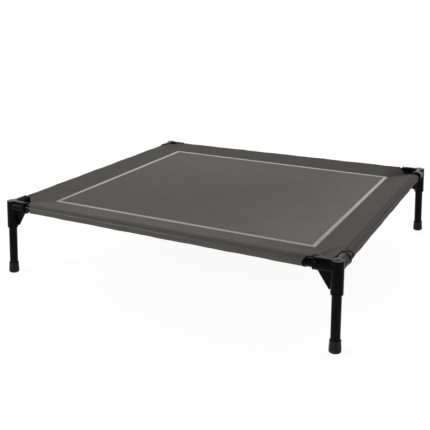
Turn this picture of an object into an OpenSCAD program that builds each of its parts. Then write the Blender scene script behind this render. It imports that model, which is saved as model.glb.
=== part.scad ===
// Raised dog bed. Four steel rails and four steel legs plug into moulded three-way
// corner connectors. A mesh panel is held in a border of folded fabric: its two layers run
// from the mesh to the top and bottom of each rail. The legs pull out of their sockets.
// The origin is on the floor under the middle of the bed. X runs along the long side.

/* [Frame] */
// Distance between the leg axes along the long side
leg_spacing_x = 874; // [600:2:1200]
// Distance between the leg axes along the short side
leg_spacing_y = 774; // [500:2:1000]
// Height of the connectors' flat tops above the floor
bed_h = 197; // [160:1:300]
// How far the rail axes lie below the connectors' tops
rail_drop = 14.4; // [14.2:0.1:16]
// Outward lean of each leg in degrees
leg_lean = 5; // [1:0.5:6]
// Direction of that lean in degrees, measured from the long side
lean_dir = 60; // [30:5:60]

/* [Tubes] */
// Outer diameter of the rails and legs
tube_d = 21; // [19:0.5:21.5]
// Wall thickness of the rails and legs
tube_wall = 1.2; // [0.8:0.1:2]
// Radial clearance between a tube and its socket
socket_fit = 0.05; // [0.02:0.01:0.09]

/* [Connectors] */
// Outer diameter of the leg socket and of the arms
socket_d = 26.8; // [26:0.2:28]
// Height of the leg socket
socket_h = 72; // [60:1:80]
// Distance from the leg axis to an arm's mouth
arm_reach = 50.5; // [46:0.5:60]
// How far the collar at an arm's mouth stands proud of the arm
collar_proud = 1.4; // [0.8:0.1:1.6]
// Thickness of the gusset web under each arm
gusset_t = 4; // [3:0.5:6]

/* [Feet] */
// Height of a rubber foot cap
foot_h = 28; // [20:1:40]
// Outer diameter of a foot cap at its top
foot_top_d = 25; // [24:0.2:26]
// Outer diameter of a foot cap near the floor
foot_d = 26.4; // [26:0.2:30]

/* [Fabric] */
// Distance from a rail's axis to the edge of the mesh panel
border_w = 77; // [60:1:110]
// Thickness of the border's two layers where they meet the mesh
border_t = 1.4; // [1:0.1:2]
// Outer diameter of the border where it goes round a rail
sleeve_d = 23; // [22.6:0.1:24]
// Thickness of the mesh panel
mesh_t = 1; // [0.8:0.1:2]
// Width of the binding tape around the mesh panel
tape_w = 10; // [8:0.5:16]

/* [Hidden] */
$fn = 64;
SIDES_X = ["left", "right"];
SIDES_Y = ["front", "back"];
CORNERS = [for (y = SIDES_Y, x = SIDES_X) str(y, "_", x)];
SIDES = concat(SIDES_Y, SIDES_X);

half_x = leg_spacing_x / 2;
half_y = leg_spacing_y / 2;
rail_z = bed_h - rail_drop;
arm_r = socket_d / 2;
bore_r = tube_d / 2 + socket_fit;
cap_t = 4;                          // plastic left above the leg's bore
leg_stop = cap_t + 0.5;             // distance from the pivot to the leg's top end
leg_len = bed_h / cos(leg_lean);    // distance along the leg from the pivot to the floor
foot_floor = 5;                     // rubber under the end of the leg
arm_bore_start = arm_r + 1;         // where a rail's end stops in its arm
mesh_half_x = half_x - border_w;
mesh_half_y = half_y - border_w;
tape_t = 0.6;
press = 0.1;                        // how much thinner the mesh is where it is sewn under the tape
cut_depth = 50;                     // leg axis to the corner cut-out, along the diagonal
cut_chord = 64;                     // leg axis to the cut-out along a rail
// The corner cut-out is a shallow arc through those three points
cut_half = cut_chord / sqrt(2);
cut_sag = cut_depth - cut_half;
cut_r = (cut_half * cut_half + cut_sag * cut_sag) / (2 * cut_sag);

// Round the far corner (+X, +Y) once, and mirror it to the other three
module mirror_if(on, axis) {
    if (on) mirror(axis) children();
    else children();
}

module at_corner(i) {
    mirror_if(i % 2 == 0, [1, 0, 0])
        mirror_if(i < 2, [0, 1, 0])
            translate([half_x, half_y, 0]) children();
}

// Tilts a vertical shape about the centre of the connector's top, feet outwards
module lean() {
    translate([0, 0, bed_h])
        rotate([0, 0, lean_dir])
            rotate([0, -leg_lean, 0])
                rotate([0, 0, -lean_dir]) children();
}

// Turns a shape that lies along -X and puts it along -Y
module each_arm() {
    children();
    mirror([1, -1, 0]) children();
}

// Quarter-round points from angle a0 to a1 about (cx, cy)
function arc(cx, cy, r, a0, a1, n = 5) =
    [for (k = [0:n]) let (a = a0 + (a1 - a0) * k / n) [cx + r * cos(a), cy + r * sin(a)]];

// Raised bead on a revolved profile, from z0 to z1, on a base radius
function bead(base, z0, z1, proud, n = 8) =
    [for (k = [0:n]) [base + proud * sin(180 * k / n), z0 + (z1 - z0) * k / n]];

// One arm of a connector along -X: barrel, stepped collar at the mouth and flat top rib
module arm_outside() {
    collar_0 = arm_reach - 13;
    collar_1 = arm_reach - 5;
    translate([0, 0, rail_z]) rotate([0, -90, 0])
        rotate_extrude()
            polygon(concat(
                [[0, 0], [arm_r, 0]],
                bead(arm_r, collar_0, collar_1, collar_proud * 0.7),
                bead(arm_r, collar_1, arm_reach, collar_proud),
                [[0, arm_reach]]));
    rib_w = 8;
    rib_end = collar_0 + 1;
    translate([-rib_end, -rib_w / 2, rail_z]) cube([rib_end, rib_w, rail_drop]);
}

// Triangular web between an arm and the leg socket, with a thicker sloping edge
module gusset() {
    top = [-40, rail_z - arm_r + 4];
    shoulder = [-40, rail_z - arm_r - 1.5];
    tip = [-15.5, bed_h - socket_h + 6.5];
    root_x = -6;
    edge_w = 3;
    rim_t = gusset_t + 1.6;
    rotate([90, 0, 0]) {
        translate([0, 0, -gusset_t / 2]) linear_extrude(gusset_t)
            polygon([top, shoulder, tip, [root_x, tip[1]], [root_x, top[1]]]);
        translate([0, 0, -rim_t / 2]) linear_extrude(rim_t)
            polygon([top, shoulder, tip, tip + [edge_w, 0], [top[0] + edge_w + 1, shoulder[1]],
                     [top[0] + edge_w + 1, top[1]]]);
    }
}

// Leg socket, cut flat at the top with a rounded rim and chamfered at the mouth
module socket_outside() {
    rim_r = 1.5;
    chamfer = 1;
    reach = 60;
    intersection() {
        lean() translate([0, 0, -socket_h])
            rotate_extrude()
                polygon([[0, 0], [arm_r - chamfer, 0], [arm_r, chamfer],
                         [arm_r, socket_h + 5], [0, socket_h + 5]]);
        rotate_extrude()
            polygon(concat([[0, 0], [reach, 0], [reach, bed_h - reach]],
                           arc(arm_r - rim_r, bed_h - rim_r, rim_r, 0, 90),
                           [[0, bed_h]]));
    }
}

// Moulded three-way fitting: a leg socket and two arms with gussets
module connector() {
    dimple_r = 2;
    dimple_depth = 2.5;
    color([0.05, 0.05, 0.05])
    difference() {
        union() {
            socket_outside();
            each_arm() {
                arm_outside();
                gusset();
            }
        }
        lean() translate([0, 0, -socket_h - 1]) cylinder(r = bore_r, h = socket_h + 1 - cap_t);
        each_arm() translate([-arm_bore_start, 0, rail_z]) rotate([0, -90, 0])
            cylinder(r = bore_r, h = arm_reach);
        translate([0, 0, bed_h - dimple_depth]) cylinder(r = dimple_r, h = dimple_depth + 1);
    }
}

// Round steel leg, open at both ends
module leg() {
    tube_len = leg_len - leg_stop - foot_floor;
    color([0.06, 0.06, 0.065])
    lean() translate([0, 0, -leg_stop - tube_len])
        difference() {
            cylinder(d = tube_d, h = tube_len);
            translate([0, 0, -1]) cylinder(d = tube_d - 2 * tube_wall, h = tube_len + 2);
        }
}

// Rubber cap pushed over the end of the leg, with its sole cut level with the floor
module foot() {
    edge_r = 3.5;
    lip_r = 1;
    flare_z = foot_h * 0.2;
    color([0.09, 0.09, 0.09])
    intersection() {
        lean() translate([0, 0, -leg_len])
            difference() {
                rotate_extrude()
                    polygon(concat(
                        [[0, -2], [foot_d / 2 - edge_r, -2]],
                        arc(foot_d / 2 - edge_r, edge_r, edge_r, -70, 0),
                        [[foot_d / 2, flare_z + 1]],
                        arc(foot_top_d / 2 - lip_r, foot_h - lip_r, lip_r, 0, 90),
                        [[0, foot_h]]));
                translate([0, 0, foot_floor]) cylinder(d = tube_d, h = foot_h);
            }
        translate([-50, -50, 0]) cube(100);
    }
}

// Round steel rail along X, open at both ends
module rail_along_x(spacing) {
    rail_len = spacing - 2 * (arm_bore_start + 0.5);
    color([0.06, 0.06, 0.065])
    translate([-rail_len / 2, 0, rail_z]) rotate([0, 90, 0])
        difference() {
            cylinder(d = tube_d, h = rail_len);
            translate([0, 0, -1]) cylinder(d = tube_d - 2 * tube_wall, h = rail_len + 2);
        }
}

// Plan of one border panel on the +Y side: mitred at both ends, corners cut to an arc
module border_plan(half_long, half_short) {
    inner_y = half_short - border_w;
    outer_y = half_short + sleeve_d;
    inner_x = half_long - border_w;
    outer_x = half_long + sleeve_d;
    arc_c = (cut_r - cut_depth) / sqrt(2);
    difference() {
        polygon([[-inner_x, inner_y], [inner_x, inner_y], [outer_x, outer_y], [-outer_x, outer_y]]);
        for (side = [-1, 1])
            translate([side * (half_long + arc_c), half_short + arc_c]) circle(r = cut_r);
    }
}

// A circle drawn out along -X to an edge of a given half thickness
module teardrop(r, reach, half_edge) {
    touch = acos(r / reach);
    circle(r = r);
    polygon([r * [-cos(touch), sin(touch)], [-reach, half_edge],
             [-reach, -half_edge], r * [-cos(touch), -sin(touch)]]);
}

// Border panel on the +Y side: folded cloth round the rail, sewn together at the mesh
module border_on_y(half_long, half_short) {
    join = 2;                       // width of the strip that is sewn together
    color([0.33, 0.32, 0.31])
    intersection() {
        translate([-half_long, half_short, rail_z]) rotate([90, 0, 90])
            linear_extrude(2 * half_long)
                difference() {
                    teardrop(sleeve_d / 2, border_w, border_t / 2);
                    teardrop(tube_d / 2 + 0.05, border_w - join, 0.01);
                }
        translate([0, 0, rail_z - sleeve_d]) linear_extrude(2 * sleeve_d)
            border_plan(half_long, half_short);
    }
}

// Binding tape along one edge of the mesh, on the +Y side, mitred at its ends
module tape_on_y(mesh_half_long, mesh_half_short) {
    z = rail_z + mesh_t / 2 - press;
    color([0.62, 0.61, 0.6])
    translate([0, 0, z]) linear_extrude(tape_t)
        polygon([[-mesh_half_long, mesh_half_short], [mesh_half_long, mesh_half_short],
                 [mesh_half_long - tape_w, mesh_half_short - tape_w],
                 [-mesh_half_long + tape_w, mesh_half_short - tape_w]]);
}

// Flat panel of woven mesh, sewn edge to edge with the border under the tape
module mesh_panel() {
    color([0.37, 0.36, 0.34])
    translate([-mesh_half_x, -mesh_half_y, rail_z - mesh_t / 2]) {
        cube([2 * mesh_half_x, 2 * mesh_half_y, mesh_t - press]);
        translate([tape_w, tape_w, mesh_t / 2])
            cube([2 * (mesh_half_x - tape_w), 2 * (mesh_half_y - tape_w), mesh_t / 2]);
    }
}

// Places a +Y side shape at the front or back, or turned to the left or right
module at_long_side(i) { mirror_if(i == 0, [0, 1, 0]) children(); }
module at_short_side(i) { mirror_if(i == 0, [1, 0, 0]) mirror([1, -1, 0]) children(); }

module connector_at(i) { at_corner(i) connector(); }
module leg_at(i) { at_corner(i) leg(); }
module foot_at(i) { at_corner(i) foot(); }

module rail_at(i) {
    if (i < 2) at_long_side(i) translate([0, half_y, 0]) rail_along_x(leg_spacing_x);
    else at_short_side(i - 2) translate([0, half_x, 0]) rail_along_x(leg_spacing_y);
}

module border_at(i) {
    if (i < 2) at_long_side(i) border_on_y(half_x, half_y);
    else at_short_side(i - 2) border_on_y(half_y, half_x);
}

module tape_at(i) {
    if (i < 2) at_long_side(i) tape_on_y(mesh_half_x, mesh_half_y);
    else at_short_side(i - 2) tape_on_y(mesh_half_y, mesh_half_x);
}

for (i = [0:3]) {
    connector_at(i);
    leg_at(i);
    foot_at(i);
    rail_at(i);
    border_at(i);
    tape_at(i);
}
mesh_panel();
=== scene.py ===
"""Looks of a raised dog bed: moulded corner connectors, coated steel tubes, rubber feet, a folded
fabric border, a woven mesh panel, binding tape and the stitching that holds them together.

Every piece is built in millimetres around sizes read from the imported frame, and then scaled to metres.
"""
import math

import bpy
import numpy as np
from mathutils import Matrix, Vector


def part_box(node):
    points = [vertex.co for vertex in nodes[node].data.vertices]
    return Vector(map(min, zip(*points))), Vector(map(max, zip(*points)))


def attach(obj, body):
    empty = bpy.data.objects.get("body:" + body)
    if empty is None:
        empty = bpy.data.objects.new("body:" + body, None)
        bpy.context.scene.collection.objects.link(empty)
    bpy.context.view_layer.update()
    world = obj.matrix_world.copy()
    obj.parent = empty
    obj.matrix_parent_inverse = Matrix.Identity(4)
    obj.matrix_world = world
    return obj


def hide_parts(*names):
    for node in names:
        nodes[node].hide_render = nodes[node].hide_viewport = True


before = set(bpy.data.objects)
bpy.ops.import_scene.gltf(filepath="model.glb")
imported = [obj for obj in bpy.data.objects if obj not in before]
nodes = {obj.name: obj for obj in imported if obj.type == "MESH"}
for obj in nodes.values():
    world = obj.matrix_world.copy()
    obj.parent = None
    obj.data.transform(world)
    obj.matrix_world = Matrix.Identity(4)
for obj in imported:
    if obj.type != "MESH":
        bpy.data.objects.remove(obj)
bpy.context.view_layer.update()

MM = 0.001
CORNERS = {"front_left": (-1, -1), "front_right": (1, -1), "back_left": (-1, 1), "back_right": (1, 1)}
SIDES = ("front", "back", "left", "right")


def node_box(name):
    """Lowest and highest corner of a CAD node, in millimetres."""
    low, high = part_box(name)
    return np.array(low) / MM, np.array(high) / MM


# ---------------------------------------------------------------- sizes, in millimetres
rail_low, rail_high = node_box("rail_back")
side_low, side_high = node_box("rail_right")
tape_low, tape_high = node_box("tape_back")
mesh_high = node_box("mesh_panel")[1]
TUBE_R = (rail_high[2] - rail_low[2]) / 2
RAIL_Z = (rail_high[2] + rail_low[2]) / 2
HALF_Y = (rail_high[1] + rail_low[1]) / 2
HALF_X = (side_high[0] + side_low[0]) / 2
MESH_X, MESH_Y = mesh_high[0], mesh_high[1]
MESH_TOP = mesh_high[2] - RAIL_Z
BORDER_W = HALF_X - MESH_X
TAPE_W = tape_high[1] - tape_low[1]
COLLAR_OVER = 0.4       # how far the arms' collars stand over the connectors' flat tops
BED_H = node_box("connector_back_right")[1][2] - COLLAR_OVER

# Each leg leans outwards by LEAN, toward a direction LEAN_DIR from the long side
LEAN = math.radians(5)
LEAN_DIR = math.radians(60)
LEG_DOWN = np.array([math.sin(LEAN) * math.cos(LEAN_DIR), math.sin(LEAN) * math.sin(LEAN_DIR),
                     -math.cos(LEAN)])
ARM_R, ARM_REACH, SOCKET_H = 13.4, 50.5, 72.0
BORE_R = TUBE_R + 0.05
CAP_T = 4               # plastic over the leg's bore
FOOT_H = 28

CLOTH_T, MESH_T, TAPE_T = 0.6, 0.8, 0.5
MESH_HALF = 0.5         # from the top of the mesh's solid down to its middle
FOLD_GAP, FOLD_ROOM = 0.12, 0.45    # between a tube and its fold, and room for the fold's slow waves
LAYER = CLOTH_T / 2 + 0.02          # height of a border's layers where they are sewn together
SLEEVE_R = TUBE_R + FOLD_GAP + CLOTH_T / 2 + FOLD_ROOM
TOUCH = math.acos(SLEEVE_R / BORDER_W) + LAYER / BORDER_W   # angle where a layer meets the curve
TOUCH_D = SLEEVE_R * math.cos(TOUCH)

# Each corner cut-out: depth along the diagonal and chords along the long and the short side, from the leg
# axis, how high the mitre stands (0 sewn flat, 1 as high as the fold), its bulge and how deep its folds are
CUTS = {
    "front_left": (45.0, 62.0, 60.5, 0.5, 0.0, 0.35),
    "front_right": (36.0, 64.0, 64.0, 0.0, 0.0, 1.0),
    "back_left": (38.0, 60.0, 60.0, 1.0, 3.5, 0.2),
    "back_right": (48.0, 58.0, 64.0, 0.0, 0.0, 0.75),
}
# How unevenly the panel is sewn: the height of each corner of its seam, and how far out the right seam is
SEAM_Z = {"front_left": -0.6, "front_right": -0.5, "back_left": 1.8, "back_right": -2.4}
SEAM_X = 2.0
# Distances of the cloth's columns from the end of a border, closest together at its hem
EDGE_STEPS = [0, 0.9, 1.9, 3.1, 4.4, 6, 8, 10.5, 13.5, 17, 21, 25.5, 30.5, 36, 42, 48.5, 55.5, 63, 71, 79.5]
HEM_SEAM = 4.4          # the step that the hem's stitches follow
UV_START = 500          # keeps the lengths along a cloth positive


# ---------------------------------------------------------------- mesh helpers
def make_mesh(name, verts, faces, material, uv=None):
    """A mesh object from points in millimetres. uv holds one pair for each corner of each face."""
    mesh = bpy.data.meshes.new(name)
    mesh.from_pydata((np.asarray(verts) * MM).tolist(), [], np.asarray(faces).tolist())
    if uv is not None:
        layer = mesh.uv_layers.new(name="cloth")
        layer.data.foreach_set("uv", np.asarray(uv, np.float32).ravel())
    mesh.materials.append(material)
    mesh.polygons.foreach_set("use_smooth", [True] * len(mesh.polygons))
    mesh.validate()
    mesh.update()
    obj = bpy.data.objects.new(name, mesh)
    bpy.context.scene.collection.objects.link(obj)
    return obj


def grid_faces(rows, cols, close_rows=False, close_cols=False, flip=False):
    """Quads of a grid of points stored row by row."""
    r = np.arange(rows if close_rows else rows - 1)
    c = np.arange(cols if close_cols else cols - 1)
    r, c = np.meshgrid(r, c, indexing="ij")
    r1, c1 = (r + 1) % rows, (c + 1) % cols
    quads = np.stack([r * cols + c, r * cols + c1, r1 * cols + c1, r1 * cols + c], -1).reshape(-1, 4)
    return quads[:, ::-1] if flip else quads


def smoothstep(x, low, high):
    """0 up to low, 1 from high, and a soft rise between them."""
    t = np.clip((x - low) / (high - low), 0, 1)
    return t * t * (3 - 2 * t)


def bump(x, centre, width):
    """A bell curve, 1 at its centre."""
    return np.exp(-(((x - centre) / width) ** 2))


def at_corner(verts, faces, corner):
    """A shape made round the vertical through the back right leg's pivot, mirrored to any corner."""
    sx, sy = CORNERS[corner]
    placed = (verts + np.array([HALF_X, HALF_Y, 0])) * np.array([sx, sy, 1])
    return placed, faces if sx * sy > 0 else faces[:, ::-1]


def side_layout(side):
    """Whether a side runs along X, and the sign of its place across."""
    return side in ("front", "back"), 1 if side in ("back", "right") else -1


def ride(obj, body, slot, *replaced):
    """Names a piece's body and the CAD nodes that it takes the place of, which it hides. The slot argument
    is not used.
    """
    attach(obj, body)
    if replaced:
        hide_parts(*replaced)
    return obj


# ---------------------------------------------------------------- materials
class Shader:
    """A small wrapper that adds and links shader nodes."""

    def __init__(self, name):
        self.material = bpy.data.materials.new(name)
        self.material.use_nodes = True
        self.tree = self.material.node_tree
        self.bsdf = self.tree.nodes["Principled BSDF"]

    def add(self, kind, sockets=(), **props):
        node = self.tree.nodes.new("ShaderNode" + kind)
        for key, value in props.items():
            setattr(node, key, value)
        for key, value in dict(sockets).items():
            self.put(node.inputs[key], value)
        return node

    def put(self, socket, value):
        if isinstance(value, bpy.types.NodeSocket):
            self.tree.links.new(value, socket)
        else:
            socket.default_value = value

    def set(self, **values):
        for key, value in values.items():
            self.put(self.bsdf.inputs[key.replace("_", " ")], value)

    def math(self, operation, a, b=0.0, c=0.0):
        node = self.add("Math", {0: a, 1: b, 2: c}, operation=operation)
        return node.outputs[0]

    def span(self, value, low, high, to_low, to_high):
        """Maps value from low..high to to_low..to_high, clamped."""
        node = self.add("MapRange", {"Value": value, "From Min": low, "From Max": high,
                                     "To Min": to_low, "To Max": to_high})
        return node.outputs["Result"]

    def noise(self, vector, scale, detail=3.0, rough=0.55):
        node = self.add("TexNoise", {"Vector": vector, "Scale": scale, "Detail": detail, "Roughness": rough})
        return node.outputs["Fac"]

    def stretch(self, vector, scale):
        node = self.add("Mapping", {"Vector": vector, "Scale": scale})
        return node.outputs["Vector"]

    def tint(self, colour, factor):
        """colour scaled by a grey factor."""
        node = self.add("VectorMath", {0: colour, "Scale": factor}, operation="SCALE")
        return node.outputs["Vector"]

    def filter(self, colour, by):
        """colour times another colour."""
        return self.add("VectorMath", {0: colour, 1: by}, operation="MULTIPLY").outputs["Vector"]

    def distance(self, place, point):
        return self.add("VectorMath", {0: place, 1: point}, operation="DISTANCE").outputs["Value"]

    def axes(self, vector):
        parts = self.add("SeparateXYZ", {"Vector": vector})
        return parts.outputs["X"], parts.outputs["Y"], parts.outputs["Z"]

    def swing(self, base, value, gain, middle=0.5):
        """base plus gain times how far value lies from its middle."""
        return self.math("MULTIPLY_ADD", self.math("SUBTRACT", value, middle), gain, base)

    def ribs(self, length, pitch):
        """Rises from 0 to 1 and falls back over each pitch of a length."""
        return self.math("ABSOLUTE", self.math("SINE", self.math("MULTIPLY", length, math.pi / pitch)))

    def mix(self, factor, a, b):
        node = self.add("Mix", data_type="RGBA")
        self.put(node.inputs["Factor"], factor)
        self.put(node.inputs[6], a)
        self.put(node.inputs[7], b)
        return node.outputs[2]

    def relief(self, height, depth, strength=1.0, after=None):
        """A bump of depth metres, on top of another one if after is given."""
        node = self.add("Bump", {"Height": height, "Distance": depth, "Strength": strength})
        if after is not None:
            self.put(node.inputs["Normal"], after)
        return node.outputs["Normal"]

    def place(self):
        return self.add("TexCoord").outputs["Object"]

    def edges(self):
        """0 on flat and hollow places, 1 on worn convex edges."""
        return self.span(self.add("NewGeometry").outputs["Pointiness"], 0.52, 0.62, 0.0, 1.0)


def moulded_plastic():
    s = Shader("moulded_plastic")
    at = s.place()
    cloud = s.noise(at, 45.0, 4.0)
    grain = s.noise(at, 1500.0, 2.0)
    rubs = s.noise(s.stretch(at, (60.0, 60.0, 420.0)), 1.0, 5.0, 0.7)
    worn = s.math("MULTIPLY", s.edges(), s.span(rubs, 0.45, 0.7, 0.0, 1.0))
    base = s.mix(cloud, (0.0024, 0.0024, 0.0026, 1), (0.0036, 0.0035, 0.0037, 1))
    base = s.mix(worn, base, (0.014, 0.014, 0.014, 1))
    rough = s.math("ADD", s.span(cloud, 0.3, 0.7, 0.24, 0.31), s.span(rubs, 0.5, 0.8, 0.0, 0.10))
    s.set(Base_Color=base, Roughness=rough, Specular_IOR_Level=0.04,
          Normal=s.relief(grain, 0.00003, 0.5, s.relief(cloud, 0.0002, 0.25)))
    return s.material


def coated_steel():
    s = Shader("coated_steel")
    at = s.place()
    peel = s.noise(at, 420.0, 2.0)
    speck = s.noise(at, 2600.0, 1.0)
    cloud = s.noise(at, 30.0, 4.0)
    scuff = s.noise(s.stretch(at, (160.0, 160.0, 9.0)), 1.0, 5.0, 0.75)
    base = s.mix(s.span(cloud, 0.3, 0.7, 0.0, 1.0), (0.0012, 0.0012, 0.0013, 1), (0.0019, 0.0019, 0.0020, 1))
    base = s.mix(s.span(scuff, 0.64, 0.78, 0.0, 0.5), base, (0.010, 0.010, 0.010, 1))
    rough = s.math("ADD", s.span(peel, 0.3, 0.7, 0.11, 0.17), s.span(scuff, 0.55, 0.8, 0.0, 0.12))
    s.set(Base_Color=base, Roughness=rough, Specular_IOR_Level=0.06,
          Normal=s.relief(speck, 0.00001, 0.35, s.relief(peel, 0.00008, 0.5)))
    return s.material


def foot_rubber():
    s = Shader("foot_rubber")
    at = s.place()
    height = s.axes(at)[2]
    cloud = s.noise(at, 110.0, 5.0, 0.65)
    grain = s.noise(at, 1900.0, 2.0)
    dusty = s.math("MULTIPLY", s.span(height, 0.0, 0.006, 1.0, 0.0), s.span(cloud, 0.35, 0.65, 0.0, 1.0))
    base = s.mix(cloud, (0.0045, 0.0045, 0.0048, 1), (0.0080, 0.0078, 0.0076, 1))
    base = s.mix(dusty, base, (0.035, 0.033, 0.030, 1))
    s.set(Base_Color=base, Roughness=s.span(cloud, 0.3, 0.7, 0.46, 0.60), Specular_IOR_Level=0.17,
          Normal=s.relief(grain, 0.00003, 0.6, s.relief(cloud, 0.0002, 0.3)))
    return s.material


def plain_weave(s, across, along, pitch_across, pitch_along):
    """Height of a plain weave, 0 to 1, from two lengths in metres: warp and weft take turns on top."""
    a = s.math("MULTIPLY", across, math.pi / pitch_across)
    b = s.math("MULTIPLY", along, math.pi / pitch_along)
    sin_a, sin_b = s.math("SINE", a), s.math("SINE", b)
    over = s.span(s.math("MULTIPLY", sin_a, sin_b), -0.25, 0.25, 0.0, 1.0)
    warp = s.math("ABSOLUTE", sin_a)
    weft = s.math("ABSOLUTE", sin_b)
    return s.math("ADD", s.math("MULTIPLY", over, warp),
                  s.math("MULTIPLY", s.math("SUBTRACT", 1.0, over), weft))


def cloth_lengths(s):
    """A cloth's own map, and the two lengths along the cloth in metres that it holds."""
    uv = s.add("UVMap", uv_map="cloth").outputs["UV"]
    u, v, _ = s.axes(uv)
    return uv, u, v


def border_fabric():
    """A coated plain-weave canvas with uneven yarns, a painted highlight line along the fold over the rail,
    and painted light and shade on the flats.
    """
    s = Shader("border_fabric")
    uv, u, v = cloth_lengths(s)
    pitch = 0.00062
    bend = (BORDER_W - TOUCH_D) * MM        # distances across the cloth, from the mesh
    # where the painted highlight line runs round the fold, and its width
    highlight_at = (BORDER_W - TOUCH_D + SLEEVE_R * (math.radians(157) - TOUCH)) * MM
    highlight_w = 0.0011
    weave = plain_weave(s, u, v, pitch, pitch * 1.1)
    slub_u = s.noise(s.stretch(uv, (14.0, 900.0, 1.0)), 1.0, 3.0, 0.6)
    slub_v = s.noise(s.stretch(uv, (900.0, 14.0, 1.0)), 1.0, 3.0, 0.6)
    yarns = s.math("MULTIPLY", s.math("ADD", slub_u, slub_v), 0.5)
    cloud = s.noise(uv, 22.0, 5.0, 0.6)
    tone = s.swing(s.swing(0.5, cloud, 0.5), yarns, 1.3)
    tone = s.swing(tone, weave, 0.5, 0.6)
    # painted highlight: a bright line along the fold over the rail, which comes and goes and fades toward
    # one end
    off = s.math("MULTIPLY", s.math("SUBTRACT", v, highlight_at), 1 / highlight_w)
    painted_highlight = s.math("EXPONENT", s.math("MULTIPLY", s.math("MULTIPLY", off, off), -1.0))
    patchy = s.noise(s.stretch(uv, (3.5, 0.0, 0.0)), 1.0, 2.0)
    painted_highlight = s.math("MULTIPLY", painted_highlight, s.span(patchy, 0.3, 0.6, 0.35, 0.95))
    painted_highlight = s.math("MULTIPLY", painted_highlight, s.span(u, 0.54, 0.78, 1.0, 0.1))
    base = s.mix(tone, (0.070, 0.0655, 0.0592, 1), (0.106, 0.0990, 0.0898, 1))
    base = s.tint(base, s.math("ADD", painted_highlight, 1.0))
    # painted shade: a band before the bend, wide along the front and narrow on the right, and a dark patch
    # at the back right corner
    place = s.place()
    at_x, at_y, _ = s.axes(place)
    right = s.span(at_x, 0.33, 0.37, 0.0, 1.0)
    front = s.span(at_y, -0.315, -0.305, 1.0, 0.0)
    wide, narrow = [
        s.math("MULTIPLY", s.math("ABSOLUTE", s.math("SUBTRACT", v, bend - before)), 1 / width)
        for before, width in ((0.003, 0.012), (0.002, 0.006))]
    along = s.math("MULTIPLY", front, s.span(at_x, -0.18, -0.06, 0.3, 1.0))
    painted_shading = s.math("MULTIPLY", s.span(wide, 0.0, 1.0, 0.30, 0.0), along)
    painted_shading = s.math("ADD", painted_shading, s.math("MULTIPLY", s.span(narrow, 0.2, 1.0, 0.36, 0.0), right))
    # painted light: the flat of the front border is paler in the middle
    middle = s.span(s.math("ABSOLUTE", s.math("ADD", at_x, 0.05)), 0.2, 0.36, -0.10, 0.0)
    middle = s.math("MULTIPLY", middle, s.span(v, bend - 0.008, bend + 0.002, 1.0, 0.0))
    painted_shading = s.math("ADD", painted_shading, s.math("MULTIPLY", middle, front))
    corner = s.distance(place, (0.395, 0.345, 0.183))
    painted_shading = s.math("ADD", painted_shading, s.span(corner, 0.012, 0.062, 0.34, 0.0))
    base = s.tint(base, s.math("SUBTRACT", 1.0, painted_shading))
    base = s.mix(right, base, s.filter(base, (0.93, 0.90, 0.90)))
    s.set(Base_Color=base, Roughness=s.span(cloud, 0.3, 0.7, 0.62, 0.74), Specular_IOR_Level=0.012,
          Normal=s.relief(weave, 0.00012, 0.7, s.relief(yarns, 0.0002, 0.35)))
    return s.material


def mesh_fabric():
    """A coated open weave: round yarns with small dark gaps between them."""
    s = Shader("mesh_fabric")
    uv, u, v = cloth_lengths(s)
    pitch_u, pitch_v = 0.00125, 0.00135
    weave = plain_weave(s, u, v, pitch_u, pitch_v)
    hole = s.span(s.math("ADD", s.ribs(u, pitch_u), s.ribs(v, pitch_v)), 0.35, 0.95, 1.0, 0.0)
    pick = s.noise(s.stretch(uv, (7.0, 370.0, 1.0)), 1.0, 3.0, 0.6)
    end = s.noise(s.stretch(uv, (400.0, 7.0, 1.0)), 1.0, 3.0, 0.6)
    cloud = s.noise(uv, 16.0, 5.0, 0.62)
    tone = s.swing(0.5, s.math("ADD", pick, end), 0.8, 1.0)
    tone = s.swing(tone, cloud, 0.55)
    tone = s.swing(tone, weave, 0.5, 0.6)
    base = s.mix(tone, (0.074, 0.0665, 0.0600, 1), (0.126, 0.1140, 0.1030, 1))
    base = s.mix(s.math("MULTIPLY", hole, 0.75), base, (0.014, 0.013, 0.012, 1))
    # painted light: the mesh is paler and greener toward the front right corner
    at_x, at_y, _ = s.axes(s.place())
    toward = s.swing(s.math("SUBTRACT", at_x, s.math("MULTIPLY", at_y, 0.8)), cloud, 0.2)
    base = s.mix(s.span(toward, 0.05, 0.42, 0.0, 1.0), base, s.filter(base, (1.18, 1.26, 1.27)))
    grain = s.noise(uv, 260.0, 2.0, 0.6)
    base = s.tint(base, s.swing(1.0, grain, 0.7))
    # painted light and shade: paler along the back and right edges, as a painted sheen, and darker along the
    # front
    front = s.math("ADD", s.span(at_y, -0.30, 0.0, -0.10, 0.0), s.span(at_x, 0.12, 0.27, 0.0, 0.10))
    front = s.math("MINIMUM", front, 0.0)
    edge = s.math("ADD", s.span(at_y, 0.02, 0.30, 0.0, 0.22), s.span(at_x, 0.20, 0.31, 0.0, 0.13))
    base = s.tint(base, s.math("ADD", s.math("ADD", front, edge), 1.0))
    s.set(Base_Color=base, Roughness=s.span(cloud, 0.3, 0.7, 0.50, 0.62), Specular_IOR_Level=0.012,
          Normal=s.relief(weave, 0.00025, 0.7, s.relief(pick, 0.0002, 0.3)))
    return s.material


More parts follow.
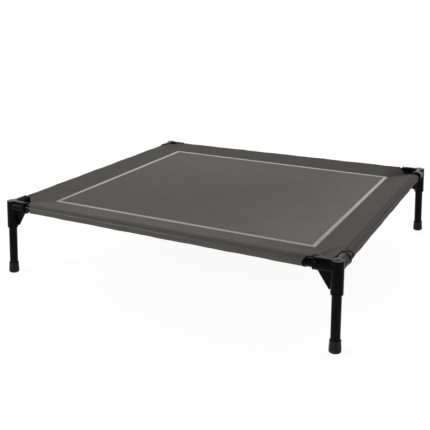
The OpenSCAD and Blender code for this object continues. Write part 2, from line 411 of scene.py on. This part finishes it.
def binding_tape():
    """A ribbed woven tape."""
    s = Shader("binding_tape")
    uv, u, _ = cloth_lengths(s)
    rib = s.ribs(u, 0.0009)
    yarn = s.noise(s.stretch(uv, (40.0, 1500.0, 1.0)), 1.0, 3.0, 0.6)
    cloud = s.noise(uv, 60.0, 4.0, 0.6)
    tone = s.swing(s.math("MULTIPLY_ADD", rib, 0.35, s.math("MULTIPLY", yarn, 0.45)), cloud, 0.8)
    base = s.mix(tone, (0.240, 0.232, 0.218, 1), (0.400, 0.390, 0.370, 1))
    # paler toward the back left, darker toward the front right and in the front left corner
    place = s.place()
    at_x, at_y, _ = s.axes(place)
    tape_ramp = s.math("MULTIPLY_ADD", at_y, 0.8, s.math("MULTIPLY_ADD", at_x, -0.38, 1.22))
    corner = s.distance(place, (-0.36, -0.31, 0.183))
    base = s.tint(base, s.math("ADD", tape_ramp, s.span(corner, 0.0, 0.14, -0.25, 0.0)))
    s.set(Base_Color=base, Roughness=0.7, Specular_IOR_Level=0.3, Sheen_Weight=0.08, Sheen_Roughness=0.4,
          Normal=s.relief(rib, 0.00018, 0.8, s.relief(yarn, 0.0001, 0.4)))
    return s.material


def thread(name, dark, light):
    """Twisted sewing thread."""
    s = Shader(name)
    at = s.place()
    twist = s.add("TexWave", {"Vector": at, "Scale": 900.0, "Distortion": 2.0},
                  wave_type="BANDS", bands_direction="DIAGONAL").outputs["Fac"]
    fuzz = s.noise(at, 700.0, 3.0)
    tone = s.math("MULTIPLY_ADD", twist, 0.6, s.math("MULTIPLY", fuzz, 0.4))
    s.set(Base_Color=s.mix(tone, dark, light), Roughness=0.55, Specular_IOR_Level=0.35, Sheen_Weight=0.1,
          Normal=s.relief(twist, 0.00006, 0.6))
    return s.material


PLASTIC = moulded_plastic()
STEEL = coated_steel()
RUBBER = foot_rubber()
BORDER = border_fabric()
MESH = mesh_fabric()
TAPE = binding_tape()
GREY_THREAD = thread("grey_thread", (0.050, 0.047, 0.044, 1), (0.095, 0.090, 0.085, 1))
LIGHT_THREAD = thread("light_thread", (0.25, 0.24, 0.23, 1), (0.42, 0.41, 0.40, 1))


# ---------------------------------------------------------------- corner connectors
def round_max(a, b, r):
    """Overlap of two shapes, with the edge between them rounded to radius r."""
    return np.minimum(-r, np.maximum(a, b)) + np.hypot(np.maximum(a + r, 0), np.maximum(b + r, 0))


def round_min(a, b, r):
    """Both shapes together, with a fillet of radius r between them."""
    return np.maximum(r, np.minimum(a, b)) - np.hypot(np.maximum(r - a, 0), np.maximum(r - b, 0))


def arm_shape(s, t, z):
    """One arm: s runs from the leg axis to the mouth, t sideways, z up from the floor."""
    h = z - RAIL_Z
    top = BED_H - RAIL_Z
    ring = ARM_R
    # a low bead and a higher one at the mouth: where each starts, its length and how proud it stands
    for start, length, proud in ((37.5, 8, 0.98), (45.5, 5, 1.4)):
        on_bead = (s > start) & (s < start + length)
        ring = ring + np.where(on_bead, proud * np.sin(np.pi * (s - start) / length), 0)
    barrel = round_max(np.hypot(t, h) - ring, np.maximum(s - ARM_REACH, -s), 0.5)
    rib_half, rib_end = 4, 38.5
    rib = round_max(np.abs(t) - rib_half, np.maximum(s - rib_end, -s), 0.6)
    rib = round_max(rib, np.maximum(h - top, -h), 0.6)
    return round_min(barrel, rib, 0.7)


def gusset_shape(s, t, z):
    """The web between an arm and the socket, with a thicker rim along its slope."""
    root, web_half, rim_half, rim_w = 6, 2, 2.8, 2.8
    high = np.array([40.0, RAIL_Z - ARM_R - 1.5])
    low = np.array([15.5, BED_H - SOCKET_H + 6.5])
    run = high - low
    out = np.array([run[1], -run[0]]) / np.hypot(*run)
    slope = (s - low[0]) * out[0] + (z - low[1]) * out[1]
    plate = np.maximum.reduce([slope, s - high[0], root - s, low[1] - z, z - (RAIL_Z - ARM_R + 4)])
    web = round_max(plate, np.abs(t) - web_half, 0.5)
    rim = round_max(np.maximum(plate, -slope - rim_w), np.abs(t) - rim_half, 0.6)
    return round_min(web, rim, 0.4)


def connector_shape(p):
    """Signed distance to the connector. p is measured from the floor right under the leg's pivot."""
    x, y, z = p[..., 0], p[..., 1], p[..., 2]
    arms = ((-x, y), (-y, x))
    rel = p - np.array([0, 0, BED_H])
    down = rel @ LEG_DOWN
    radius = np.sqrt(np.maximum((rel ** 2).sum(-1) - down ** 2, 0))
    shape = round_max(radius - ARM_R, down - SOCKET_H, 0.9)
    shape = round_max(shape, z - BED_H, 1.5)
    for s, t in arms:
        shape = round_min(shape, round_min(arm_shape(s, t, z), gusset_shape(s, t, z), 0.8), 1.4)
    leg_bore = np.maximum(radius - BORE_R, CAP_T - down)
    shape = round_max(shape, -leg_bore, 0.35)
    for s, t in arms:
        arm_bore = np.maximum(np.hypot(t, z - RAIL_Z) - BORE_R, ARM_R + 1 - s)
        shape = round_max(shape, -arm_bore, 0.35)
    dimple_r, dimple_depth = 2, 2.5
    dimple = np.maximum(np.hypot(x, y) - dimple_r, BED_H - dimple_depth - z)
    return round_max(shape, -dimple, 0.45)


def surface_net(field, origin, step):
    """Points and quads of the surface where a grid of signed distances changes sign."""
    inside = field < 0
    size = np.array(field.shape)
    count = np.zeros(size - 1, np.int8)
    for a in (0, 1):
        for b in (0, 1):
            for c in (0, 1):
                count += inside[a:size[0] - 1 + a, b:size[1] - 1 + b, c:size[2] - 1 + c]
    mixed = (count > 0) & (count < 8)
    cells = np.argwhere(mixed)
    index = np.full(mixed.shape, -1)
    index[mixed] = np.arange(len(cells))
    total, crossings = np.zeros((len(cells), 3)), np.zeros(len(cells))
    for axis in range(3):
        for a in (0, 1):
            for b in (0, 1):
                start = np.zeros(3, int)
                start[(axis + 1) % 3], start[(axis + 2) % 3] = a, b
                end = start.copy()
                end[axis] = 1
                f0, f1 = field[tuple((cells + start).T)], field[tuple((cells + end).T)]
                hit = (f0 < 0) != (f1 < 0)
                part = np.where(hit, f0 / np.where(hit, f0 - f1, 1), 0)
                point = cells + start + part[:, None] * (end - start)
                total[hit] += point[hit]
                crossings[hit] += 1
    verts = origin + step * total / crossings[:, None]
    quads = []
    for axis in range(3):
        u, v = (axis + 1) % 3, (axis + 2) % 3
        low = np.take(inside, range(size[axis] - 1), axis)
        high = np.take(inside, range(1, size[axis]), axis)
        at = np.argwhere(low != high)
        at = at[(at[:, u] > 0) & (at[:, v] > 0) & (at[:, u] < size[u] - 1) & (at[:, v] < size[v] - 1)]
        eu, ev = np.eye(3, dtype=int)[u], np.eye(3, dtype=int)[v]
        ring = np.stack([index[tuple((at - d).T)] for d in (eu + ev, ev, 0 * eu, eu)], 1)
        outward = low[tuple(at.T)]
        quads.append(np.where(outward[:, None], ring, ring[:, ::-1]))
    return verts, np.concatenate(quads)


def settle(points, shape):
    """Moves points onto the surface of a signed distance, in steps of at most 0.4 mm or so."""
    rounds, reach = 4, 0.05
    for _ in range(rounds):
        value = shape(points)
        slope = np.stack([(shape(points + reach * e) - shape(points - reach * e)) / (2 * reach)
                          for e in np.eye(3)], -1)
        size = np.maximum((slope ** 2).sum(-1), 0.25)
        points = points - np.clip(value / size, -0.4, 0.4)[:, None] * slope
    return points


def build_connectors():
    """Four mirrored copies of one connector, meshed in a box that holds it with a little to spare."""
    step = 0.75
    low, high = np.array([-52.5, -52.5, 122.0]), np.array([17.5, 20.5, BED_H + 1.8])
    axes = [np.arange(a, b, step) for a, b in zip(low, high)]
    points = np.stack(np.meshgrid(*axes, indexing="ij"), -1)
    verts, quads = surface_net(connector_shape(points), low, step)
    verts = settle(verts, connector_shape)
    for corner in CORNERS:
        obj = make_mesh(f"corner_connector_{corner}", *at_corner(verts, quads, corner), PLASTIC)
        ride(obj, "bed_frame", "moulded_plastic", f"connector_{corner}")


# ---------------------------------------------------------------- feet
def arc_points(centre, radius, start, end, count):
    """Points of a circle's arc between two angles in degrees."""
    return [(centre[0] + radius * math.cos(math.radians(a)), centre[1] + radius * math.sin(math.radians(a)))
            for a in np.linspace(start, end, count)]


def foot_profile():
    """Radius and height along the leg: bore, rounded lip, shoulder, slight flare, soft sole edge, sole."""
    bore_r, bore_floor, sole = 10.55, 5.0, -1.5
    lip_r, edge_r, neck_r, foot_r = 1.0, 3.5, 12.32, 13.2
    neck = FOOT_H - 5.4
    profile = [(bore_r, bore_floor), (bore_r, FOOT_H - 0.4), (10.9, FOOT_H)]
    profile += arc_points((11.5, FOOT_H - lip_r), lip_r, 90, 0, 8)
    profile += [(12.46, FOOT_H - 3.2), (12.30, FOOT_H - 4.2), (neck_r, neck)]
    profile += [(neck_r + (foot_r - neck_r) * smoothstep(share, 0, 1), neck - share * 15.4)
                for share in np.linspace(0.08, 1, 12)]
    profile += arc_points((foot_r - edge_r, edge_r), edge_r, 0, -75, 14)
    return np.array(profile + [(6.0, sole), (3.0, sole), (0.0, sole), (0.0, bore_floor)])


def build_feet():
    """Rubber caps on the ends of the leaning legs, cut level at the floor."""
    profile, sides = foot_profile(), 96
    angle = np.linspace(0, 2 * np.pi, sides, endpoint=False)
    ring = np.stack([np.cos(angle), np.sin(angle)], -1)
    verts = np.concatenate([np.column_stack([r * ring, np.full(sides, z)]) for r, z in profile])
    tilt_axis = Vector((-math.sin(LEAN_DIR), math.cos(LEAN_DIR), 0))
    tilt = np.array(Matrix.Rotation(-LEAN, 3, tilt_axis))
    to_floor = BED_H / math.cos(LEAN)
    verts = (verts - np.array([0, 0, to_floor])) @ tilt.T + np.array([0, 0, BED_H])
    under = verts[:, 2] < 0
    verts[under] -= LEG_DOWN * (verts[under, 2] / LEG_DOWN[2])[:, None]
    faces = grid_faces(len(profile), sides, close_rows=True, close_cols=True)
    for corner in CORNERS:
        obj = make_mesh(f"rubber_foot_{corner}", *at_corner(verts, faces, corner), RUBBER)
        ride(obj, f"leg_{corner}", "foot_rubber", f"foot_{corner}")


# ---------------------------------------------------------------- fabric
def fold_path():
    """Half of a border's cross-section: depth inboard of the rail axis, height over it, arc length past
    the top.

    It runs from the mesh straight up to the top of the rail and round to its outermost point. The points
    lie closer together where it leaves the mesh and where it meets the rail.
    """
    straight = np.concatenate([
        [BORDER_W, BORDER_W - 0.9, BORDER_W - 2, BORDER_W - 3.4, BORDER_W - 5.2],
        np.linspace(BORDER_W - 7.5, 14, 24),
        [12.8, 11.9, 11.2, 10.4, 9.3, 8, 6.4, 4.6, 3.0]])
    share = (straight - TOUCH_D) / (BORDER_W - TOUCH_D)
    height = LAYER + (SLEEVE_R * math.sin(TOUCH) - LAYER) * (1 - share)
    d, h, past = list(straight), list(height), [0.0] * len(straight)
    for a in np.linspace(TOUCH, math.pi, 24):
        d.append(SLEEVE_R * math.cos(a))
        h.append(SLEEVE_R * math.sin(a))
        past.append(max(0.0, SLEEVE_R * (a - math.pi / 2)))
    return np.array(d), np.array(h), np.array(past)


def end_at(corner, long_side, depth, past):
    """How far from the leg axis a row of border fabric ends: the mitre, or the arc of the cut-out."""
    deep, chord = CUTS[corner][0], CUTS[corner][1 if long_side else 2]
    half = chord / math.sqrt(2)
    sag = deep - half
    radius = (half ** 2 + sag ** 2) / (2 * abs(sag))
    bend = math.copysign(1, sag)
    centre = (deep - bend * radius) / math.sqrt(2)
    arc = centre + bend * np.sqrt(np.maximum(radius ** 2 - (depth - centre) ** 2, 0))
    arc = np.where(past > 0, chord + 0.45 * past, np.where(depth > 0, arc, chord))
    return np.where(depth > deep / math.sqrt(2), depth, arc)


def corner_folds(a, b):
    """Height of the soft tension folds at a corner; a and b are depths from the rail axes along X and Y.

    They are a ridge with a hollow beside it and a second, lower ridge, all bent about one point outside.
    """
    off_corner, bend_r = 119, 218
    away = np.hypot(a + off_corner, b + off_corner) - bend_r
    skew = b - a
    near = 1 - smoothstep(np.abs(skew), 60, 120)
    ridge = 1.5 * bump(away, 24 + 0.25 * skew, 6.5) - 0.9 * bump(away, 10 + 0.12 * skew, 6.0)
    second = 0.5 * bump(away, 48 + 0.1 * skew, 9) * (1 - smoothstep(np.abs(skew), 30, 80))
    return smoothstep(np.minimum(a, b), 8, 26) * near * (ridge + second)


def ripples(x, y, seed):
    """Slow unevenness of a stretched panel, about plus or minus 1."""
    rng = np.random.default_rng(seed)
    total = np.zeros_like(x)
    waves = 7
    for _ in range(waves):
        angle, size = rng.uniform(0, math.pi), rng.uniform(45, 160)
        across = x * math.cos(angle) + y * math.sin(angle)
        total += np.sin(across * 2 * math.pi / size + rng.uniform(0, 6.28))
    return total / waves * 1.6


def drawn(points):
    """Moves fabric points by how unevenly the panel is sewn: each seam corner a little high or low, the
    right seam out to the side, and nothing where the fabric lies on the rails."""
    x, y, z = np.moveaxis(points, -1, 0)
    u, v = np.clip(x / MESH_X, -1, 1) / 2 + 0.5, np.clip(y / MESH_Y, -1, 1) / 2 + 0.5
    held = [np.clip((half - np.abs(at) - TOUCH_D) / (BORDER_W - TOUCH_D), 0, 1)
            for at, half in ((x, HALF_X), (y, HALF_Y))]
    free = np.minimum(*held)
    low = (1 - v) * ((1 - u) * SEAM_Z["front_left"] + u * SEAM_Z["front_right"])
    high = v * ((1 - u) * SEAM_Z["back_left"] + u * SEAM_Z["back_right"])
    return np.stack([x + free * u * SEAM_X, y, z + free * (low + high)], -1)


def side_grid(side):
    """Lengths and shape data for the border of one side, row by row from the top layer to the bottom."""
    long_side, sign = side_layout(side)
    half_long, half_short = (HALF_X, HALF_Y) if long_side else (HALF_Y, HALF_X)
    corners = [f"{side}_left", f"{side}_right"] if long_side else [f"front_{side}", f"back_{side}"]
    d, h, past = fold_path()
    depth, height = np.concatenate([d, d[::-1][1:]]), np.concatenate([h, -h[::-1][1:]])
    over = np.concatenate([past, past[::-1][1:]])
    top = np.concatenate([np.ones(len(d)), -np.ones(len(d) - 1)])
    travel = np.concatenate([[0], np.cumsum(np.hypot(np.diff(depth), np.diff(height)))])
    # columns, as shares of the way to the border's end
    longest = half_long - 36
    middle = longest - EDGE_STEPS[-1]
    inner = np.linspace(-middle, middle, 2 * int(middle / 7.5) + 1)
    right = longest - np.array(EDGE_STEPS[:-1])[::-1]
    share = np.concatenate([-right[::-1], inner, right]) / longest
    ends = [half_long - end_at(corner, long_side, depth, over) for corner in corners]
    reach = np.where(share[None, :] < 0, ends[0][:, None], ends[1][:, None])
    return dict(long_side=long_side, sign=sign, half_long=half_long, half_short=half_short, depth=depth,
                height=height, top=top, travel=travel, ends=ends, reach=reach, x=reach * share[None, :],
                corners=corners, edges=[CUTS[corner][0] / math.sqrt(2) + 0.1 for corner in corners],
                rows=len(depth), cols=len(share))


def held_height(depth, height, inboard, stand):
    """Height of the two layers: they rise away from the mitre until they lie on the rail or its collar."""
    opening = 25            # distance over which the layers open
    collar = 4.3            # how much an arm's collar adds to what holds the cloth up
    soft = 1.2              # blend between a lowered layer and what is under it
    rise = 1 - (1 - stand) * np.exp(-np.maximum(inboard - depth, 0) / opening)
    lowered = LAYER + rise * (np.abs(height) - LAYER)
    support = SLEEVE_R + collar * (1 - smoothstep(inboard, ARM_REACH, ARM_REACH + 7.5))
    tube = np.where(depth < support, np.sqrt(np.maximum(support ** 2 - depth ** 2, 0)), support - depth)
    held = (lowered + tube + np.hypot(lowered - tube, soft * (1 - rise))) / 2
    return np.where(depth > TOUCH_D + 0.01, np.sign(height) * held, height)


def tension_lift(x, depth, half_long, side):
    """Slow unevenness of one border, with a few slanting tension folds."""
    lift = 0.5 * ripples(x, depth * 1.6, 11 + SIDES.index(side))
    strength = 1.0 if side == "front" else 0.6
    # each fold: its place along the border, its slant, its width and its height
    for centre, lean, width, size in ((-0.66, 0.55, 7.0, 0.9), (-0.60, 0.5, 6.0, -0.7),
                                      (-0.52, 0.45, 8.0, 0.6), (0.30, -0.4, 9.0, 0.4),
                                      (0.58, -0.5, 8.0, 0.45)):
        line = x - centre * half_long - (depth - 40) / lean * 0.8
        lift += size * strength * bump(line, 0, width * 2) * np.sin(line / width)
    return lift


def edge_seams(g, depth, to_end, top):
    """How far the cloth stands out at its ends: a narrow hem at the cut-out, and a lap at the mitre."""
    at_cut = depth <= np.where(g["x"] < 0, g["edges"][0], g["edges"][1])
    hem = np.where(at_cut, 0.45 * (1 - smoothstep(to_end, 3.6, 5.2)), 0)
    lap = 0.32 * (1 - smoothstep(to_end, 4.5, 7)) if g["long_side"] else 0
    lap = np.where(at_cut, 0, lap - 0.12 * (1 - smoothstep(to_end, 0, 1.5)))
    return hem, lap * np.maximum(top, 0)


def border_points(g, side):
    """Final points of one border: the folded cross-section plus folds, puckers and hems."""
    x, seed = g["x"], SIDES.index(side)
    depth, height, top = [np.repeat(g[key][:, None], g["cols"], 1) for key in ("depth", "height", "top")]
    to_end = g["reach"] - np.abs(x)
    inboard = g["half_long"] - np.abs(x)
    tangent = np.gradient(np.stack([g["depth"], g["height"]], -1), axis=0)
    tangent /= np.linalg.norm(tangent, axis=1)[:, None]
    normal = np.stack([tangent[:, 1], -tangent[:, 0]], -1)    # points out of the fold, up on the top layer
    first, last = [CUTS[corner][3:] for corner in g["corners"]]
    stand, bulge, folds = [np.where(x < 0, a, b) for a, b in zip(first, last)]
    height = held_height(depth, height, inboard, stand)
    # unevenness that the two layers share, then puckers and bulges that push them apart
    off_rail = smoothstep(depth, 3, 26)
    off_mesh = smoothstep(BORDER_W - depth, 0, 10)
    a, b = (inboard, depth) if g["long_side"] else (depth, inboard)
    lift = tension_lift(x, depth, g["half_long"], side) + corner_folds(a, b) * folds
    pucker = 0.22 * np.sin(2 * np.pi * x / 17.0 + seed) * np.sin(2 * np.pi * x / 61.0 + 1.3 * seed)
    lift = lift * off_rail * off_mesh + pucker * bump(depth, BORDER_W - 6, 4) * top
    lift += bulge * np.exp(-((a + b) / 95) ** 4) * smoothstep(depth, 3, 20) * top
    # the fold is a little loose on the tube, in long soft waves
    slack = 0.35 * np.sin(2 * np.pi * x / 143 + 2 * seed) + 0.2 * np.sin(2 * np.pi * x / 57 + depth / 7)
    slack = np.maximum(slack, -0.4) * (1 - off_rail) * smoothstep(to_end, 0, 30)
    hem, lap = edge_seams(g, depth, to_end, top)
    outward = slack + hem + lap
    d = depth + normal[:, 0][:, None] * outward
    z = height + normal[:, 1][:, None] * outward + lift
    y = (g["half_short"] - d) * g["sign"]
    return drawn(np.stack([x, y, RAIL_Z + z] if g["long_side"] else [y, x, RAIL_Z + z], -1))


def cloth_uv(faces, u, v):
    """Corner lengths in metres for a cloth's faces."""
    pairs = np.stack([u.ravel(), v.ravel()], -1) * MM
    return pairs[faces.ravel()]


def thicken(obj, thickness):
    """Gives a cloth its thickness, half to each side."""
    solid = obj.modifiers.new("thickness", "SOLIDIFY")
    solid.thickness = thickness * MM
    solid.offset = 0


def sample(values, reach, places):
    """Values at given lengths along a line."""
    return np.stack([np.interp(places, reach, values[:, i]) for i in range(3)], -1)


def build_stitches(name, lines, material, slot, pitch=4.0):
    """Short threads along lines. A line is points, with the cloth's normal at each point."""
    gap = 1.0               # between two stitches
    radius, tip = 0.24, 0.55    # of the thread, and the share of it that its ends keep
    rings, sides = 5, 6
    turn = np.linspace(0, 2 * np.pi, sides, endpoint=False)[:, None]
    cap = np.array([[0, 1, 2, 3], [0, 3, 4, 5]])
    parts = (grid_faces(rings, sides, close_cols=True), cap[:, ::-1], cap + (rings - 1) * sides)
    verts, faces, base = [], [], 0
    for points, normals in lines:
        reach = np.concatenate([[0], np.cumsum(np.linalg.norm(np.diff(points, axis=0), axis=1))])
        count = int(reach[-1] // pitch)
        if count < 1:
            continue
        centre = (np.arange(count) + 0.5) * reach[-1] / count
        at = sample(points, reach, centre)
        out = sample(normals, reach, centre)
        out /= np.linalg.norm(out, axis=1)[:, None]
        front = sample(points, reach, centre + 0.5) - sample(points, reach, centre - 0.5)
        front /= np.linalg.norm(front, axis=1)[:, None]
        side = np.cross(front, out)
        half = (reach[-1] / count - gap) / 2
        block = []
        for along in np.linspace(-1, 1, rings):
            thick = radius * (1.0 if abs(along) < 0.9 else tip)
            rise = 0.18 - 0.42 * along ** 2
            middle = at + front * half * along + out * rise
            block.append(middle[:, None, :] + thick * (np.cos(turn) * side[:, None, :]
                                                       + np.sin(turn) * out[:, None, :]))
        verts.append(np.stack(block, 1).reshape(-1, 3))
        starts = base + np.arange(count)[:, None, None] * rings * sides
        faces += [(part[None] + starts).reshape(-1, 4) for part in parts]
        base += count * rings * sides
    obj = make_mesh(name, np.concatenate(verts), np.concatenate(faces)[:, ::-1], material)
    return ride(obj, "bed_frame", slot)


def grid_normals(points, row):
    """Unit normals of a grid of points, all turned so that they point up in the middle of one row."""
    n = np.cross(np.gradient(points, axis=1), np.gradient(points, axis=0))
    n /= np.maximum(np.linalg.norm(n, axis=2), 1e-9)[..., None]
    return -n if n[row, n.shape[1] // 2][2] < 0 else n


def build_borders():
    """Four folded borders, with stitches along each hem, and along the mitres on the long sides."""
    hem = EDGE_STEPS.index(HEM_SEAM)
    for side in SIDES:
        g = side_grid(side)
        depth, cols = g["depth"], g["cols"]
        points = border_points(g, side)
        normals = grid_normals(points, 2)
        faces = grid_faces(g["rows"], cols, flip=g["long_side"] == (g["sign"] > 0))
        across = np.repeat(g["travel"][:, None], cols, 1)
        obj = make_mesh(f"border_cloth_{side}", points.reshape(-1, 3), faces, BORDER,
                        uv=cloth_uv(faces, g["x"] + UV_START, across))
        thicken(obj, CLOTH_T)
        ride(obj, "bed_frame", "border_fabric", f"border_{side}")
        lines = []
        for col, corner_depth in zip((hem, cols - 1 - hem), g["edges"]):
            stretches = [depth <= corner_depth]
            if g["long_side"]:
                stretches.append((depth > corner_depth) & (g["top"] > 0) & (depth < BORDER_W - 1))
            for rows in stretches:
                out = normals[rows, col]
                lines.append((points[rows, col] + out * (CLOTH_T / 2), out))
        stitches = build_stitches(f"border_stitching_{side}", lines, GREY_THREAD, "border_fabric")


def panel_height(x, y):
    """Height of the mesh over the rail axis: slightly slack in the middle, drawn tight at the tape."""
    u, v = x / MESH_X, y / MESH_Y
    inside = np.clip((1 - u ** 2) * (1 - v ** 2), 0, 1)
    sag = -1.6 * inside
    return sag + 0.35 * ripples(x * 0.6, y * 0.6, 41) * np.sqrt(inside)


def graded(half, count):
    """Places from -half to half, a little closer together near the ends."""
    t = np.linspace(-1, 1, count)
    return half * np.sin(t * math.pi / 2) * 0.35 + half * t * 0.65


def build_mesh_panel():
    """The centre panel, one layer sewn in under the tape."""
    nx, ny = 145, 125
    x, y = np.meshgrid(graded(MESH_X, nx), graded(MESH_Y, ny))
    z = RAIL_Z + MESH_TOP - MESH_HALF + panel_height(x, y)
    faces = grid_faces(ny, nx)
    obj = make_mesh("mesh_cloth", drawn(np.stack([x, y, z], -1)).reshape(-1, 3), faces, MESH,
                    uv=cloth_uv(faces, x + UV_START, y + UV_START))
    thicken(obj, MESH_T)
    ride(obj, "bed_frame", "mesh_fabric", "mesh_panel")


def build_tapes():
    """Binding tape over the seam, one length for each edge of the mesh, mitred where they meet."""
    overlap = 0.6           # how far the tape reaches out over the border
    on_border = MESH_TOP - 0.1
    sunk = 0.30             # how deep the stitches draw it down
    edge = np.array([0, 0.25, 0.9, 1.9, 3.0])
    seam_row = 3            # the row of points that the stitches follow, at each edge
    across = np.concatenate([edge, TAPE_W / 2 + np.array([-1, 0, 1]), TAPE_W - edge[::-1]])
    crown = np.array([0.05, 0.42, 0.60, 0.56, 0.64, 0.72, 0.74, 0.72, 0.64, 0.56, 0.60, 0.42, 0.05])
    travel = np.concatenate([[0], np.cumsum(np.hypot(np.diff(across), np.diff(crown)))])
    tip = 0.002 * np.array([0, 1, 2.5])
    for side in SIDES:
        long_side, sign = side_layout(side)
        half_long, half_short = (MESH_X, MESH_Y) if long_side else (MESH_Y, MESH_X)
        depth = across - overlap
        end = half_long - depth
        share = np.concatenate([-1 + tip, np.linspace(-0.99, 0.99, int(half_long / 3)), 1 - tip[::-1]])
        x = end[:, None] * share[None, :]
        d = np.repeat(depth[:, None], x.shape[1], 1)
        to_end = end[:, None] - np.abs(x)
        px, py = (x, half_short - d) if long_side else (half_short - d, x)
        base = MESH_TOP - MESH_HALF + MESH_T / 2 + panel_height(np.abs(px), np.abs(py))
        base = np.where(d < 0, on_border, base)
        round_off = 0.28 * (1 - smoothstep(to_end, 0, 1.2))
        wave = 0.05 * np.sin(x * 2 * np.pi / 23 + SIDES.index(side)) + 0.04 * np.sin(x * 2 * np.pi / 9)
        z = RAIL_Z + base + crown[:, None] - sunk - round_off + wave
        y = (half_short - d) * sign
        points = drawn(np.stack([x, y, z] if long_side else [y, x, z], -1))
        normals = grid_normals(points, seam_row)
        faces = grid_faces(len(across), x.shape[1], flip=long_side == (sign > 0))
        v = np.repeat(travel[:, None], x.shape[1], 1)
        obj = make_mesh(f"tape_cloth_{side}", points.reshape(-1, 3), faces, TAPE,
                        uv=cloth_uv(faces, x + UV_START, v))
        thicken(obj, TAPE_T)
        ride(obj, "bed_frame", "binding_tape", f"tape_{side}")
        lines = [(points[row] + normals[row] * (TAPE_T / 2), normals[row])
                 for row in (seam_row, len(across) - 1 - seam_row)]
        stitches = build_stitches(f"tape_stitching_{side}", lines, LIGHT_THREAD, "binding_tape", pitch=3.6)


# ---------------------------------------------------------------- stage, light and camera
def build_stage():
    """A wide plain floor just under the feet, bright enough to melt into the backdrop."""
    s = Shader("studio_floor")
    cloud = s.noise(s.place(), 1.5, 2.0)
    s.set(Base_Color=s.mix(cloud, (0.12, 0.12, 0.12, 1), (0.13, 0.13, 0.13, 1)), Roughness=0.9,
          Specular_IOR_Level=0.0, Emission_Color=(1, 1, 1, 1), Emission_Strength=0.92)
    mesh = bpy.data.meshes.new("floor")
    half, level = 120.0, -0.0004
    square = ((-1, -1), (1, -1), (1, 1), (-1, 1))
    mesh.from_pydata([(half * x, half * y, level) for x, y in square], [], [(0, 1, 2, 3)])
    mesh.materials.append(s.material)
    floor = bpy.data.objects.new("floor", mesh)
    bpy.context.scene.collection.objects.link(floor)


def build_world():
    """A bright backdrop behind the bed, dimmer in front of it and dark overhead."""
    world = bpy.data.worlds.new("studio")
    bpy.context.scene.world = world
    world.use_nodes = True
    tree = world.node_tree
    direction = tree.nodes.new("ShaderNodeTexCoord")
    parts = tree.nodes.new("ShaderNodeSeparateXYZ")
    ramp = tree.nodes.new("ShaderNodeValToRGB")
    backward = tree.nodes.new("ShaderNodeVectorMath")
    backward.operation = "DOT_PRODUCT"
    backward.inputs[1].default_value = (-0.48, 0.88, 0.0)
    level = tree.nodes.new("ShaderNodeMapRange")
    for key, value in (("From Min", -0.6), ("From Max", 0.6), ("To Min", 0.46), ("To Max", 1.0)):
        level.inputs[key].default_value = value
    tree.links.new(direction.outputs["Generated"], parts.inputs[0])
    tree.links.new(direction.outputs["Generated"], backward.inputs[0])
    tree.links.new(parts.outputs["Z"], ramp.inputs["Fac"])
    tree.links.new(backward.outputs["Value"], level.inputs["Value"])
    tree.links.new(ramp.outputs["Color"], tree.nodes["Background"].inputs["Color"])
    tree.links.new(level.outputs["Result"], tree.nodes["Background"].inputs["Strength"])
    stops = ramp.color_ramp.elements
    stops[0].position, stops[0].color = 0.30, (0.97, 0.97, 0.97, 1)
    stops[1].position, stops[1].color = 0.90, (0.30, 0.30, 0.30, 1)


def add_sun(name, azimuth, elevation, strength, spread):
    """A wide soft light from a compass direction: azimuth 0 is behind the bed (+Y), 90 is the right (+X)."""
    data = bpy.data.lights.new(name, "SUN")
    data.energy = strength
    data.angle = math.radians(spread)
    obj = bpy.data.objects.new(name, data)
    a, e = math.radians(azimuth), math.radians(elevation)
    to_light = Vector((math.sin(a) * math.cos(e), math.cos(a) * math.cos(e), math.sin(e)))
    obj.rotation_euler = to_light.to_track_quat("Z", "Y").to_euler()
    bpy.context.scene.collection.objects.link(obj)


def add_panel(name, place, target, size, power):
    """A square soft box."""
    data = bpy.data.lights.new(name, "AREA")
    data.size, data.energy = size, power
    obj = bpy.data.objects.new(name, data)
    obj.location = place
    obj.rotation_euler = (Vector(place) - Vector(target)).to_track_quat("Z", "Y").to_euler()
    bpy.context.scene.collection.objects.link(obj)


def build_camera():
    """A camera in front of the bed and to its right, looking a little down on it."""
    yaw, pitch, roll = math.radians(28.63), math.radians(19.17), math.radians(-0.76)
    data = bpy.data.cameras.new("camera")
    data.sensor_width = 36
    data.lens = 53.15
    data.clip_start, data.clip_end = 0.05, 400
    forward = Vector((-math.sin(yaw) * math.cos(pitch), math.cos(yaw) * math.cos(pitch), -math.sin(pitch)))
    level = Vector((math.cos(yaw), math.sin(yaw), 0))
    lifted = level.cross(forward)
    right = level * math.cos(roll) + lifted * math.sin(roll)
    up = lifted * math.cos(roll) - level * math.sin(roll)
    camera = bpy.data.objects.new("camera", data)
    place = Matrix((right, up, -forward)).transposed().to_4x4()
    place.translation = (0.7774, -1.5144, 0.6955)
    camera.matrix_world = place
    bpy.context.scene.collection.objects.link(camera)
    bpy.context.scene.camera = camera


build_camera()
build_stage()
build_world()
add_sun("back_light", -10, 28, 2.5, 85)
add_panel("front_light", (-1.90, -1.95, 1.43), (-0.20, -0.39, 0.18), 0.8, 33)
bpy.context.scene.view_settings.view_transform = "Standard"

# the tubes are shown as the CAD made them
for name, node in nodes.items():
    if name.startswith(("rail_", "leg_")):
        node.data.materials.clear()
        node.data.materials.append(STEEL)

build_connectors()
build_feet()
build_borders()
build_mesh_panel()
build_tapes()
